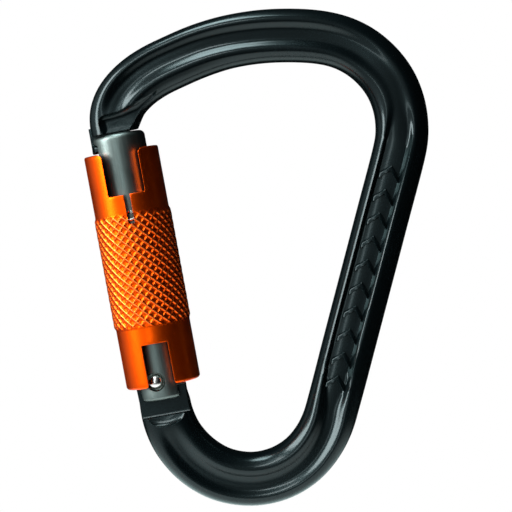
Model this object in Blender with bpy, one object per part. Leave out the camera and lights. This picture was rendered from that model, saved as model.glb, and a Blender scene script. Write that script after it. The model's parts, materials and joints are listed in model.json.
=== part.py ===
"""Locking carabiner, pear-shaped (HMS), with a two-way auto-locking twist sleeve.

Run it from Blender's text editor or with: blender --background --python part.py
Every size below is in millimetres; meshes are built in metres.

World frame: +X to the spine's side, +Y away from the viewer, +Z up. The origin is
the crown of the top basket, on the frame's middle plane.
Gate frame: x inwards across the gate, y as the world's, z up the gate tube. Its
origin is the hinge pin, and the tube's axis is TUBE_OFFSET to the side of it.
"""

import math

import bmesh
import bpy
from mathutils import Matrix, Vector

for leftover in list(bpy.data.objects):
    bpy.data.objects.remove(leftover, do_unlink=True)

MM = 0.001

# ---------------------------------------------------------------- driving sizes
FRAME_HEIGHT = 117.0    # bottom of the frame to its top
BAR_SCALE = 1.0         # widens or narrows the whole bar, in the frame's plane
BAR_DEPTH = 11.4        # front face to back face
CHANNEL_DEPTH = 1.75    # depth of the forged channel, each side
CHANNEL_WIDTH = 6.6     # its width, ridge to ridge
GATE_RADIUS = 6.28
SLEEVE_WALL = 1.62
HINGE_RADIUS = 1.5      # rivet shank
WIRE_SLEEVE = 0.7       # torsion spring wire
WIRE_GATE = 0.6         # gate spring wire

# ------------------------------------------------------- fits and running gaps
RUN = 0.1               # between turning round faces
SIDE = 0.18             # between sliding flat faces
NOSE_GAP = 0.32         # between the nose and the gate's keyhole
WIRE_PLAY = 0.22        # between the sleeve's spring and the walls round it

# ------------------------------------------------------------- derived sizes
K = FRAME_HEIGHT / 117.0
TILT = math.radians(10.4)
HINGE = (-30.8 * K, -75.15 * K)          # X and Z of the hinge axis
TUBE_OFFSET = 1.45                       # tube axis from the hinge, inwards
GATE_TOP = 58.9 * K
GATE_BOTTOM = -4.5
OPEN_DEG = 26.0

RIM_TOP = GATE_TOP - 4.2                 # sleeve's top rim
NOTCH_FLOOR = GATE_TOP - 14.5
BAND_TOP = GATE_TOP - 18.7               # knurled band
BAND_BOTTOM = BAND_TOP - 27.2 * K
RIM_BOTTOM = -1.1
BORE_RADIUS = GATE_RADIUS + WIRE_SLEEVE + WIRE_PLAY   # sleeve bore at both ends
SLEEVE_RADIUS = BORE_RADIUS + SLEEVE_WALL
BAND_RADIUS = SLEEVE_RADIUS + 0.3
LAND_RADIUS = GATE_RADIUS + RUN          # bearing land inside the sleeve
LAND_BOTTOM, LAND_TOP = 13.5, 24.0 * K
NOTCH_WIDTH = 8.7
SLOT_WIDTH, SLOT_LENGTH = 1.55, 6.9
HATCH_WIDTH, HATCH_TOP = 6.2, 9.1        # opening over the rivet's heads

TANG_HALF = 3.1                          # half thickness of the hinge tang
CLEVIS_HALF = TANG_HALF + SIDE
TANG_RADIUS, CAM_HEIGHT = 5.0, 4.5
TANG_STEP = -8.4                         # where the tang meets the full bar
CLEVIS_TOP = TANG_RADIUS + 1.5
HEAD_RADIUS = HINGE_RADIUS + 0.55        # rivet's heads

NECK_HALF, BULB_HALF = 2.0, 3.5          # keyhole nose, half thicknesses
NECK_END = GATE_TOP - 1.75               # neck above, bulb below
BLOCK_END = RIM_TOP + NOSE_GAP
NOSE_SLOPE = 0.09                        # the nose's underside rises inwards
LIP_RADIUS = BORE_RADIUS - 0.22          # nose's outer face, round like the bore
NOSE_INNER = 3.0                         # nose's reach inwards of the tube axis
KEYHOLE_FLOOR = RIM_TOP - 6.3            # the gate's slot goes on down, past the nose

SPRING_BORE = 3.0
SPRING_TOP = 27.0 * K
PLUNGER_BOTTOM = CAM_HEIGHT + 0.06
PLUNGER_LENGTH = 6.2
PIN_RADIUS, PIN_HEIGHT = 1.0, (LAND_BOTTOM + LAND_TOP) / 2
BUSH_TOP = NOTCH_FLOOR - 0.7
BUSH_BOTTOM = BUSH_TOP - 2.6
COIL_TOP = BUSH_BOTTOM - 0.8
COIL_BOTTOM = LAND_TOP + 0.9
COIL_TURNS = 8.5

# The frame's middle line, from the nose over the top and down the spine to the
# hinge end: X, Z and the bar's width there. The curve passes through each.
STATIONS = [
    (-40.75, -18.6, 10.0), (-40.85, -16.3, 10.9), (-40.65, -13.9, 12.0),
    (-39.95, -11.1, 12.4), (-38.4, -8.2, 12.5),
    (-35.25, -4.95, 12.6), (-31.35, -2.3, 12.6), (-27.2, -0.25, 12.6),
    (-20.7, 2.55, 12.6), (-13.4, 4.75, 12.5), (-4.8, 6.0, 12.55), (4.4, 6.05, 12.55),
    (11.1, 5.05, 12.45), (16.4, 2.85, 12.45), (20.85, -0.6, 12.4), (24.3, -5.05, 12.4),
    (26.4, -10.3, 12.4), (27.1, -15.9, 12.45), (26.4, -21.5, 12.5),
    (22.45, -36.8, 12.5), (18.5, -52.0, 12.5), (14.5, -67.4, 12.5),
    (12.6, -74.8, 12.45), (11.05, -80.6, 12.4), (9.65, -85.3, 12.4), (7.25, -89.95, 12.4),
    (3.5, -94.25, 12.5), (-1.8, -97.4, 12.6), (-8.3, -98.7, 12.6),
    (-15.35, -97.6, 12.7), (-21.25, -94.2, 12.7), (-25.6, -89.4, 12.5),
    (-27.95, -84.5, 12.3), (-28.85, -80.6, 12.0), (-29.25, -77.9, 11.9),
]
# Channel strength and its shift outwards from the middle line, by station.
CHANNEL = [
    (0.0, 0.8), (0.0, 0.8), (0.0, 0.8), (0.0, 0.8), (0.8, 0.9), (1.0, 1.0), (1.0, 1.1),
    (1.0, 1.1),
    (1.0, 0.9), (1.0, 0.5), (1.0, 0.2), (1.0, 0.1),
    (0.9, 0.0), (0.7, 0.0), (0.4, 0.0), (0.25, 0.0),
    (0.3, -0.4), (0.6, -0.9), (0.9, -1.2),
    (1.0, -1.3), (1.0, -1.3), (1.0, -1.3),
    (1.0, -1.0), (1.0, -0.5), (1.0, 0.0), (1.0, 0.4),
    (1.0, 0.7), (1.0, 0.8), (1.0, 0.8),
    (1.0, 0.8), (0.9, 0.8), (0.5, 0.6),
    (0.0, 0.3), (0.0, 0.0), (0.0, 0.0),
]
RINGS = 3                # rings between two stations


# -------------------------------------------------------------------- helpers
def finish(name, colour, roughness, metallic):
    """Returns a Principled material in a linear colour."""
    made = bpy.data.materials.new(name)
    made.use_nodes = True
    shader = made.node_tree.nodes["Principled BSDF"]
    shader.inputs["Base Color"].default_value = (*colour, 1.0)
    shader.inputs["Roughness"].default_value = roughness
    shader.inputs["Metallic"].default_value = metallic
    return made


def placed(name, mesh_tools, material, place, cutter=False):
    """Turns a bmesh in millimetres into a named object, placed by a matrix."""
    bmesh.ops.recalc_face_normals(mesh_tools, faces=mesh_tools.faces)
    if mesh_tools.calc_volume(signed=True) < 0:
        bmesh.ops.reverse_faces(mesh_tools, faces=mesh_tools.faces)
    bmesh.ops.scale(mesh_tools, vec=(MM, MM, MM), verts=mesh_tools.verts)
    mesh = bpy.data.meshes.new(name)
    mesh_tools.to_mesh(mesh)
    mesh_tools.free()
    made = bpy.data.objects.new(name, mesh)
    bpy.context.scene.collection.objects.link(made)
    made.matrix_world = place
    if material is not None:
        mesh.materials.append(material)
    if cutter:
        made.hide_render = True
        made.display_type = "WIRE"
    return made


def boolean(target, other, operation):
    """Adds or cuts another object's shape with an exact Boolean."""
    step = target.modifiers.new(f"{operation.lower()} {other.name}", "BOOLEAN")
    step.operation = operation
    step.solver = "EXACT"
    step.object = other


def box(low, high):
    """Returns a box between two corners."""
    made = bmesh.new()
    bmesh.ops.create_cube(made, size=1.0)
    for vert in made.verts:
        vert.co = Vector(
            [(lo + hi) / 2 + c * (hi - lo) for lo, hi, c in zip(low, high, vert.co)]
        )
    return made


def prism(outline, low, high):
    """Extrudes an outline of (x, z) points along Y."""
    made = bmesh.new()
    face = made.faces.new([made.verts.new((x, low, z)) for x, z in outline])
    grown = bmesh.ops.extrude_face_region(made, geom=[face])
    moved = [v for v in grown["geom"] if isinstance(v, bmesh.types.BMVert)]
    bmesh.ops.translate(made, vec=(0, high - low, 0), verts=moved)
    return made


def profile_prism(outline, low, high):
    """Extrudes an outline of (y, z) points along X."""
    made = prism(outline, low, high)
    for vert in made.verts:
        vert.co = Vector((vert.co.y, vert.co.x, vert.co.z))
    return made


def lathe(profile, steps=48, closed_ring=False):
    """Spins a profile of (radius, z) about Z. A ring's profile is a closed loop."""
    made = bmesh.new()
    rings = []
    for radius, height in profile:
        if radius < 1e-6:
            rings.append([made.verts.new((0, 0, height))])
            continue
        rings.append([
            made.verts.new((
                radius * math.cos(2 * math.pi * k / steps),
                radius * math.sin(2 * math.pi * k / steps),
                height,
            ))
            for k in range(steps)
        ])
    pairs = list(zip(rings, rings[1:]))
    if closed_ring:
        pairs.append((rings[-1], rings[0]))
    for one, two in pairs:
        for k in range(steps):
            n = (k + 1) % steps
            corners = [one[k % len(one)], one[n % len(one)],
                       two[n % len(two)], two[k % len(two)]]
            made.faces.new(list(dict.fromkeys(corners)))
    return made


def turned_y(made, x=0.0, z=0.0):
    """Turns a shape made about Z so that its axis runs along Y through (x, z)."""
    turn = Matrix.Translation((x, 0, z)) @ Matrix.Rotation(math.pi / 2, 4, "X")
    bmesh.ops.transform(made, matrix=turn, verts=made.verts)
    return made


def wire(path, radius, sides=7):
    """Sweeps a round wire along a path of points, with closed ends."""
    made = bmesh.new()
    points = [Vector(p) for p in path]
    rings, across = [], None
    for k, point in enumerate(points):
        ahead = (points[min(k + 1, len(points) - 1)] - points[max(k - 1, 0)]).normalized()
        if across is None:
            across = ahead.orthogonal().normalized()
        across = (across - ahead * across.dot(ahead)).normalized()
        up = ahead.cross(across)
        rings.append([
            made.verts.new(
                point
                + across * radius * math.cos(2 * math.pi * j / sides)
                + up * radius * math.sin(2 * math.pi * j / sides)
            )
            for j in range(sides)
        ])
    for one, two in zip(rings, rings[1:]):
        for j in range(sides):
            n = (j + 1) % sides
            made.faces.new((one[j], one[n], two[n], two[j]))
    made.faces.new(rings[0])
    made.faces.new(rings[-1])
    return made


def coil(radius, low, high, turns, start, steps=16):
    """Returns a helix's points, climbing from low to high."""
    count = int(turns * steps)
    return [
        (
            radius * math.cos(start + 2 * math.pi * turns * k / count),
            radius * math.sin(start + 2 * math.pi * turns * k / count),
            low + (high - low) * k / count,
        )
        for k in range(count + 1)
    ]


# ------------------------------------------------------------- frame by lofting
def curve_through(values, t):
    """Evaluates a Catmull-Rom curve through a list of number tuples."""
    k = min(int(t), len(values) - 2)
    f = t - k
    p0, p1 = values[max(k - 1, 0)], values[k]
    p2, p3 = values[k + 1], values[min(k + 2, len(values) - 1)]
    return [
        0.5 * (2 * b + (c - a) * f + (2 * a - 5 * b + 4 * c - d) * f * f
               + (3 * b - a - 3 * c + d) * f ** 3)
        for a, b, c, d in zip(p0, p1, p2, p3)
    ]


def straight_between(values, t):
    """Evaluates straight lines through a list of number tuples."""
    k = min(int(t), len(values) - 2)
    f = t - k
    return [a + (b - a) * f for a, b in zip(values[k], values[k + 1])]


def bar_section(width, strength, shift):
    """Returns the bar's outline as (across, depth) points: a rounded bar with a
    smooth channel along both broad faces."""
    half, deep, power = width / 2, BAR_DEPTH / 2, 2.7
    reach = CHANNEL_WIDTH / 2
    lip_out, lip_in = shift + reach, shift - reach

    def rim(across):
        return deep * (1 - abs(across / half) ** power) ** (1 / power)

    def side(edge, sign):
        end = math.acos(min(1.0, abs(edge) / half) ** (power / 2))
        return [
            (
                sign * half * math.cos(end * q) ** (2 / power),
                deep * math.sin(end * q) ** (2 / power),
            )
            for q in (0.0, 0.16, 0.42, 0.72, 1.0)
        ]

    outer, inner = side(lip_out, 1), side(lip_in, -1)
    cut = CHANNEL_DEPTH * strength
    channel = []
    for q, share in ((0.83, 0.22), (0.62, 0.78), (0.36, 1.0),
                     (-0.36, 1.0), (-0.62, 0.78), (-0.83, 0.22)):
        across = shift + reach * q
        channel.append((across, rim(across) - cut * share))
    front = outer + channel + inner[::-1]
    return front + [(a, -d) for a, d in front[-2:0:-1]]


def frame_loft():
    """Lofts the bar's section along the frame's middle line."""
    made = bmesh.new()
    rings = []
    for step in range((len(STATIONS) - 1) * RINGS + 1):
        t = step / RINGS
        x, z, width = curve_through(STATIONS, t)
        strength, shift = straight_between(CHANNEL, t)
        before = curve_through(STATIONS, max(t - 0.05, 0.0))
        after = curve_through(STATIONS, min(t + 0.05, len(STATIONS) - 1))
        ahead = Vector((after[0] - before[0], after[1] - before[1])).normalized()
        out = Vector((-ahead.y, ahead.x))
        rings.append([
            made.verts.new((x * K + out.x * a, d, z * K + out.y * a))
            for a, d in bar_section(width * BAR_SCALE, strength, shift)
        ])
    for one, two in zip(rings, rings[1:]):
        for k in range(len(one)):
            n = (k + 1) % len(one)
            made.faces.new((one[k], one[n], two[n], two[k]))
    made.faces.new(rings[0])
    made.faces.new(rings[-1])
    return made


# ------------------------------------------------------------------- placements
GATE_PLACE = (
    Matrix.Translation((HINGE[0] * MM, 0, HINGE[1] * MM)) @ Matrix.Rotation(-TILT, 4, "Y")
)
TUBE_PLACE = GATE_PLACE @ Matrix.Translation((TUBE_OFFSET * MM, 0, 0))
WORLD = Matrix.Identity(4)

black = finish("black_anodised_aluminium", (0.010, 0.013, 0.014), 0.27, 0.85)
grey = finish("satin_grey_aluminium", (0.20, 0.24, 0.24), 0.32, 1.0)
steel = finish("stainless_steel", (0.62, 0.62, 0.60), 0.25, 1.0)
plunger_steel = finish("turned_steel", (0.50, 0.50, 0.48), 0.35, 1.0)
pin_steel = finish("hardened_pin_steel", (0.42, 0.42, 0.42), 0.30, 1.0)
orange = finish("orange_anodised_aluminium", (0.90, 0.115, 0.004), 0.30, 0.8)
spring_steel = finish("spring_steel", (0.50, 0.50, 0.50), 0.28, 1.0)
torsion_steel = finish("torsion_spring_steel", (0.48, 0.48, 0.48), 0.28, 1.0)
acetal = finish("black_acetal", (0.02, 0.02, 0.02), 0.45, 0.0)

# ------------------------------------------------------------------------ frame
body = placed("body", frame_loft(), black, WORLD)

# The bar stops square to the gate, a running gap above it.
trim = placed(
    "trim_over_gate", box((-11, -12, GATE_TOP - 8), (11, 12, GATE_TOP + 0.6)),
    None, GATE_PLACE, cutter=True,
)
boolean(body, trim, "DIFFERENCE")


def nose_slice(z, half, inner, shift=0.0, slope=0.0, count=7):
    """Returns one level of the nose: its outer face, round like the sleeve's bore
    and moved inwards by a shift, and its flat inner end."""
    reach = math.asin(half / LIP_RADIUS)
    ring = []
    for k in range(count):
        turn = reach * (2 * k / (count - 1) - 1)
        ring.append((TUBE_OFFSET + shift - LIP_RADIUS * math.cos(turn),
                     LIP_RADIUS * math.sin(turn), z))
    ring += [(TUBE_OFFSET + inner, half, z), (TUBE_OFFSET + inner, -half, z)]
    outer = TUBE_OFFSET + shift - LIP_RADIUS
    return [(x, y, z + slope * (x - outer)) for x, y, z in ring]


def stack(levels):
    """Joins levels of matching points into one closed solid."""
    made = bmesh.new()
    rings = [[made.verts.new(p) for p in level] for level in levels]
    for one, two in zip(rings, rings[1:]):
        for k in range(len(one)):
            n = (k + 1) % len(one)
            made.faces.new((one[k], one[n], two[n], two[k]))
    made.faces.new(rings[0])
    made.faces.new(rings[-1])
    return made


# A keyhole nose: a thin neck and a thicker bulb under it. It ends above the
# sleeve's rim, so the gate swings clear with the sleeve turned either way.
nose = placed(
    "nose_shape",
    stack([
        nose_slice(GATE_TOP + 3.0, NECK_HALF, NOSE_INNER),
        nose_slice(NECK_END, NECK_HALF, NOSE_INNER),
        nose_slice(NECK_END - 0.55, BULB_HALF - 0.3, NOSE_INNER - 0.1),
        nose_slice(NECK_END - 0.85, BULB_HALF, NOSE_INNER - 0.3),
        nose_slice(BLOCK_END, BULB_HALF, NOSE_INNER - 0.8, 0.0, NOSE_SLOPE),
    ]),
    None, GATE_PLACE, cutter=True,
)
boolean(body, nose, "UNION")

# The hinge end: the full bar stops at the step, and a flat tang goes on up.
sides = placed(
    "tang_sides",
    box((-9.0, TANG_HALF, TANG_STEP), (9.0, 12, 12)),
    None, GATE_PLACE, cutter=True,
)
boolean(body, sides, "DIFFERENCE")
back_sides = placed(
    "tang_sides_back",
    box((-9.0, -12, TANG_STEP), (9.0, -TANG_HALF, 12)),
    None, GATE_PLACE, cutter=True,
)
boolean(body, back_sides, "DIFFERENCE")
over = placed(
    "tang_over", box((-9.5, -12, -3.3), (9.5, 12, 12)), None, GATE_PLACE, cutter=True,
)
boolean(body, over, "DIFFERENCE")
corner = math.sqrt(TANG_RADIUS ** 2 - CAM_HEIGHT ** 2)
arc_from = math.atan2(CAM_HEIGHT, -corner)
TANG_INNER = 6.5                         # tang's inner edge, from the hinge
tang_outline = [(-4.7, TANG_STEP - 1.0), (TANG_INNER, TANG_STEP - 1.0),
                (TANG_INNER, -2.0), (TANG_INNER - 0.5, -1.5)]
first = math.atan2(-1.0, TANG_RADIUS)
for k in range(9):
    turn = first + (math.atan2(CAM_HEIGHT, corner) - first) * k / 8
    tang_outline.append((TANG_RADIUS * math.cos(turn), TANG_RADIUS * math.sin(turn)))
for k in range(9):
    turn = arc_from + (math.pi - arc_from) * k / 8
    tang_outline.append((TANG_RADIUS * math.cos(turn), TANG_RADIUS * math.sin(turn)))
tang = placed(
    "tang_shape", prism(tang_outline, -TANG_HALF, TANG_HALF), None, GATE_PLACE, cutter=True,
)
boolean(body, tang, "UNION")
rivet_hole = placed(
    "rivet_hole", turned_y(lathe([(0, -9), (HINGE_RADIUS + RUN, -9),
                                  (HINGE_RADIUS + RUN, 9), (0, 9)], 24)),
    None, GATE_PLACE, cutter=True,
)
boolean(body, rivet_hole, "DIFFERENCE")

# ------------------------------------------------------------------------- gate
edge = 1.1
gate = placed(
    "gate",
    lathe([
        (0, GATE_BOTTOM), (GATE_RADIUS - 0.8, GATE_BOTTOM),
        (GATE_RADIUS - 0.24, GATE_BOTTOM + 0.25), (GATE_RADIUS, GATE_BOTTOM + 0.8),
        (GATE_RADIUS, GATE_TOP - edge), (GATE_RADIUS - 0.15, GATE_TOP - 0.6),
        (GATE_RADIUS - 0.5, GATE_TOP - 0.17), (GATE_RADIUS - edge, GATE_TOP), (0, GATE_TOP),
    ]),
    grey, TUBE_PLACE,
)
far = 14.0
keyhole = [
    (-NECK_HALF - NOSE_GAP, GATE_TOP + 2), (-NECK_HALF - NOSE_GAP, NECK_END + NOSE_GAP),
    (-BULB_HALF - NOSE_GAP, NECK_END - 0.4), (-BULB_HALF - NOSE_GAP, KEYHOLE_FLOOR + 0.8),
    (-BULB_HALF + 0.5, KEYHOLE_FLOOR), (BULB_HALF - 0.5, KEYHOLE_FLOOR),
    (BULB_HALF + NOSE_GAP, KEYHOLE_FLOOR + 0.8), (BULB_HALF + NOSE_GAP, NECK_END - 0.4),
    (NECK_HALF + NOSE_GAP, NECK_END + NOSE_GAP), (NECK_HALF + NOSE_GAP, GATE_TOP + 2),
]
cuts = {
    "keyhole_slot": profile_prism(keyhole, -far, NOSE_INNER + 0.45),
    "clevis_slot": box((-far, -CLEVIS_HALF, GATE_BOTTOM - 3), (far, CLEVIS_HALF, CLEVIS_TOP)),
    "spring_bore": lathe([(0, 0), (SPRING_BORE, 0), (SPRING_BORE, SPRING_TOP),
                          (0, SPRING_TOP)], 32),
    "relief_at_bottom": box((3.3, -far, GATE_BOTTOM - 3), (far, far, -1.6)),
}
for name, shape in cuts.items():
    boolean(gate, placed(name, shape, None, TUBE_PLACE, cutter=True), "DIFFERENCE")
boolean(gate, rivet_hole, "DIFFERENCE")
# countersinks for the rivet's heads
head_out = math.sqrt(GATE_RADIUS ** 2 - TUBE_OFFSET ** 2)
for sign, name in ((1, "countersink_back"), (-1, "countersink_front")):
    sink = HEAD_RADIUS + 0.2
    cone = lathe([(0, 4.35), (sink, 4.35), (sink, 9), (0, 9)], 28)
    turned_y(cone)
    if sign > 0:
        bmesh.ops.transform(cone, matrix=Matrix.Rotation(math.pi, 4, "Z"), verts=cone.verts)
    boolean(gate, placed(name, cone, None, GATE_PLACE, cutter=True), "DIFFERENCE")

pin_hole = lathe([(0, 3.7), (PIN_RADIUS + 0.02, 3.7), (PIN_RADIUS + 0.02, 9), (0, 9)], 20)
turned_y(pin_hole, z=PIN_HEIGHT)
bmesh.ops.scale(pin_hole, vec=(1, -1, 1), verts=pin_hole.verts)
boolean(gate, placed("guide_pin_hole", pin_hole, None, TUBE_PLACE, cutter=True), "DIFFERENCE")
leg_hole = lathe([(0, 4.5), (WIRE_SLEEVE / 2 + 0.6, 4.5), (WIRE_SLEEVE / 2 + 0.6, 9),
                  (0, 9)], 12)
turned_y(leg_hole, z=COIL_BOTTOM)
bmesh.ops.scale(leg_hole, vec=(1, -1, 1), verts=leg_hole.verts)
boolean(gate, placed("spring_leg_hole", leg_hole, None, TUBE_PLACE, cutter=True), "DIFFERENCE")

# --------------------------------------------------------------- locking sleeve
lip = 0.4
ring = [
    (BORE_RADIUS, RIM_BOTTOM), (SLEEVE_RADIUS - 0.6, RIM_BOTTOM),
    (SLEEVE_RADIUS - 0.15, RIM_BOTTOM + 0.2), (SLEEVE_RADIUS, RIM_BOTTOM + 0.7),
    (SLEEVE_RADIUS, BAND_BOTTOM - 0.35), (BAND_RADIUS, BAND_BOTTOM),
    (BAND_RADIUS, BAND_TOP), (SLEEVE_RADIUS, BAND_TOP + 0.35),
    (SLEEVE_RADIUS, RIM_TOP - 0.5), (SLEEVE_RADIUS - 0.35, RIM_TOP),
    (BORE_RADIUS + lip, RIM_TOP), (BORE_RADIUS, RIM_TOP - lip),
    (BORE_RADIUS, LAND_TOP), (LAND_RADIUS, LAND_TOP),
    (LAND_RADIUS, LAND_BOTTOM), (BORE_RADIUS, LAND_BOTTOM),
]
sleeve = placed("locking_sleeve", lathe(ring, 56, closed_ring=True), orange, TUBE_PLACE)


def notch_outline():
    """Returns the top notch's (x, z) outline, flared at its mouth."""
    half = NOTCH_WIDTH / 2
    return [
        (-half - 1.0, RIM_TOP + 2), (-half - 1.0, RIM_TOP + 0.1), (-half - 0.25, RIM_TOP - 0.5),
        (-half, RIM_TOP - 1.2), (-half, NOTCH_FLOOR + 0.8), (-half + 0.8, NOTCH_FLOOR),
        (half - 0.8, NOTCH_FLOOR), (half, NOTCH_FLOOR + 0.8), (half, RIM_TOP - 1.2),
        (half + 0.25, RIM_TOP - 0.5), (half + 1.0, RIM_TOP + 0.1), (half + 1.0, RIM_TOP + 2),
    ]


def sector(low, high, start, end, radius):
    """Returns a wedge of a disc, from one angle to another."""
    made = bmesh.new()
    count = 14
    rim = [(0.0, 0.0)] + [
        (radius * math.cos(start + (end - start) * k / count),
         radius * math.sin(start + (end - start) * k / count))
        for k in range(count + 1)
    ]
    face = made.faces.new([made.verts.new((x, y, low)) for x, y in rim])
    grown = bmesh.ops.extrude_face_region(made, geom=[face])
    moved = [v for v in grown["geom"] if isinstance(v, bmesh.types.BMVert)]
    bmesh.ops.translate(made, vec=(0, 0, high - low), verts=moved)
    return made


half_pin = math.asin((PIN_RADIUS + 0.2) / LAND_RADIUS)
hatch = HATCH_WIDTH / 2
sleeve_cuts = {
    "nose_notch": prism(notch_outline(), -far, 0),
    "leg_slot": box((-SLOT_WIDTH / 2, -far, NOTCH_FLOOR - SLOT_LENGTH),
                    (SLOT_WIDTH / 2, 0, NOTCH_FLOOR + 0.5)),
    "rivet_hatch": prism(
        [(-hatch, RIM_BOTTOM - 2), (-hatch, HATCH_TOP - 0.9), (-hatch + 0.9, HATCH_TOP),
         (hatch - 0.9, HATCH_TOP), (hatch, HATCH_TOP - 0.9), (hatch, RIM_BOTTOM - 2)],
        -far, far),
    "guide_groove": sector(PIN_HEIGHT - PIN_RADIUS - 0.2, PIN_HEIGHT + PIN_RADIUS + 0.2,
                           math.pi / 2 - half_pin, math.pi + half_pin, BORE_RADIUS + 0.15),
}
for name, shape in sleeve_cuts.items():
    boolean(sleeve, placed(name, shape, None, TUBE_PLACE, cutter=True), "DIFFERENCE")

# ------------------------------------------------------------------ small parts
head = HEAD_RADIUS
rivet = placed(
    "hinge_rivet",
    turned_y(lathe([
        (0, -5.85), (0.9, -5.72), (1.6, -5.35), (head, -4.75), (head, -4.45),
        (HINGE_RADIUS, -4.45), (HINGE_RADIUS, 4.45), (head, 4.45), (head, 4.75),
        (1.6, 5.35), (0.9, 5.72), (0, 5.85),
    ], 24)),
    steel, GATE_PLACE,
)

plunger = placed(
    "gate_plunger",
    lathe([
        (0, PLUNGER_BOTTOM), (2.2, PLUNGER_BOTTOM), (SPRING_BORE - 0.14, PLUNGER_BOTTOM + 0.7),
        (SPRING_BORE - 0.14, PLUNGER_BOTTOM + PLUNGER_LENGTH),
        (1.4, PLUNGER_BOTTOM + PLUNGER_LENGTH), (1.4, PLUNGER_BOTTOM + PLUNGER_LENGTH + 2.6),
        (0, PLUNGER_BOTTOM + PLUNGER_LENGTH + 2.6),
    ], 28),
    plunger_steel, TUBE_PLACE,
)

coil_low = PLUNGER_BOTTOM + PLUNGER_LENGTH + WIRE_GATE / 2 + 0.08
gate_spring = placed(
    "gate_spring",
    wire(coil(2.2, coil_low, SPRING_TOP - WIRE_GATE / 2 - 0.08, 11, 0.4, 14),
         WIRE_GATE / 2, 6),
    spring_steel, TUBE_PLACE,
)

# The torsion spring: the lower leg turns in to the gate at the back, the upper
# leg turns out into the sleeve's narrow slot at the front.
middle = (GATE_RADIUS + BORE_RADIUS) / 2
turns = coil(middle, COIL_BOTTOM, COIL_TOP, COIL_TURNS, math.pi / 2 + 0.06, 18)
leg_x = SLOT_WIDTH / 2 - WIRE_SLEEVE / 2 - 0.06
path = [(0.0, 5.0, COIL_BOTTOM), (0.0, 6.2, COIL_BOTTOM), (-0.3, middle, COIL_BOTTOM)]
path += turns[1:-1]
path += [(-0.25, -middle - 0.05, COIL_TOP), (leg_x - 0.12, -middle - 0.5, COIL_TOP + 0.02),
         (leg_x, -middle - 1.2, COIL_TOP + 0.02), (leg_x, -SLEEVE_RADIUS + 0.35, COIL_TOP + 0.02)]
sleeve_spring = placed("sleeve_spring", wire(path, WIRE_SLEEVE / 2, 7), torsion_steel, TUBE_PLACE)

guide_pin = placed(
    "guide_pin",
    turned_y(lathe([(0, -BORE_RADIUS + 0.05), (PIN_RADIUS - 0.2, -BORE_RADIUS + 0.05),
                    (PIN_RADIUS, -BORE_RADIUS + 0.25), (PIN_RADIUS, -3.75), (0, -3.75)], 20),
             z=PIN_HEIGHT),
    pin_steel, TUBE_PLACE,
)

bush = placed(
    "sleeve_bush",
    lathe([(GATE_RADIUS + RUN, BUSH_BOTTOM), (BORE_RADIUS - 0.02, BUSH_BOTTOM),
           (BORE_RADIUS - 0.02, BUSH_TOP - 0.3), (BORE_RADIUS - 0.3, BUSH_TOP),
           (GATE_RADIUS + RUN, BUSH_TOP)], 48, closed_ring=True),
    acetal, TUBE_PLACE,
)
boolean(
    bush,
    placed("bush_split", box((-1.1, -far, BUSH_BOTTOM - 2), (1.1, 0, BUSH_TOP + 2)),
           None, TUBE_PLACE, cutter=True),
    "DIFFERENCE",
)
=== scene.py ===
"""Studio model of a pear-shaped locking carabiner with a twist sleeve.

The frame is forged and black anodised, the gate is a turned tube with a keyhole
for the nose, and the orange sleeve around it is knurled. Everything stands in the
CAD frame's coordinates, in metres. Sizes in the classes below are millimetres.
"""

from __future__ import annotations

import json
import logging
import math
from dataclasses import dataclass, field
from enum import Enum
from typing import Any, Sequence

import bmesh
import bpy
import numpy as np
from mathutils import Matrix, Vector

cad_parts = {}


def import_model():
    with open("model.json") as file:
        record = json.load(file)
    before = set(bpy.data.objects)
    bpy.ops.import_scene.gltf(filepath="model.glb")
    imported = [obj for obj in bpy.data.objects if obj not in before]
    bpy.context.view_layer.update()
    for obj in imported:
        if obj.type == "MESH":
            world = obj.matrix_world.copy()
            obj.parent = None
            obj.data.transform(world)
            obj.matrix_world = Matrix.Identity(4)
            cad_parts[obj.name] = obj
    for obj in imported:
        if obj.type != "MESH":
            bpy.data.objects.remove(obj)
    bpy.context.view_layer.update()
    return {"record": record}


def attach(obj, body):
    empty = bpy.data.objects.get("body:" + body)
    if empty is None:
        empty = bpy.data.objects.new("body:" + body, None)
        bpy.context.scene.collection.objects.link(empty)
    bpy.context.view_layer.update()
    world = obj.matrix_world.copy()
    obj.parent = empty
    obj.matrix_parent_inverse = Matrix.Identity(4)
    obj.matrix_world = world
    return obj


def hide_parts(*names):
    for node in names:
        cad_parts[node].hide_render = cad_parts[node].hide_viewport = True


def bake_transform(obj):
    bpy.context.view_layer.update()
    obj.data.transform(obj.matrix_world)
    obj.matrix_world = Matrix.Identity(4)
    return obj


MM = 0.001
PAST = 9.0  # drills and mills run on this far from the axis, clear of the metal
QUARTER = math.pi / 2
log = logging.getLogger("carabiner")

Point2 = tuple[float, float]
Point3 = tuple[float, float, float]


class Rides(Enum):
    """The four bodies that move against each other."""

    FRAME = "frame"
    GATE = "gate"
    PLUNGER = "plunger"
    SLEEVE = "sleeve"


class Cut(Enum):
    """How one solid changes another."""

    TAKE_AWAY = "DIFFERENCE"
    JOIN = "UNION"


# ------------------------------------------------------------------- materials
def linear(hex_colour: str) -> tuple[float, float, float, float]:
    """Turns an sRGB hex colour into a linear one.

    Args:
        hex_colour: six hex digits, with or without a leading #.

    Returns:
        Linear red, green and blue, and an alpha of 1.
    """
    digits = hex_colour.lstrip("#")
    parts = [int(digits[k:k + 2], 16) / 255 for k in (0, 2, 4)]
    made = [p / 12.92 if p <= 0.04045 else ((p + 0.055) / 1.055) ** 2.4 for p in parts]
    return made[0], made[1], made[2], 1.0


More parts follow.
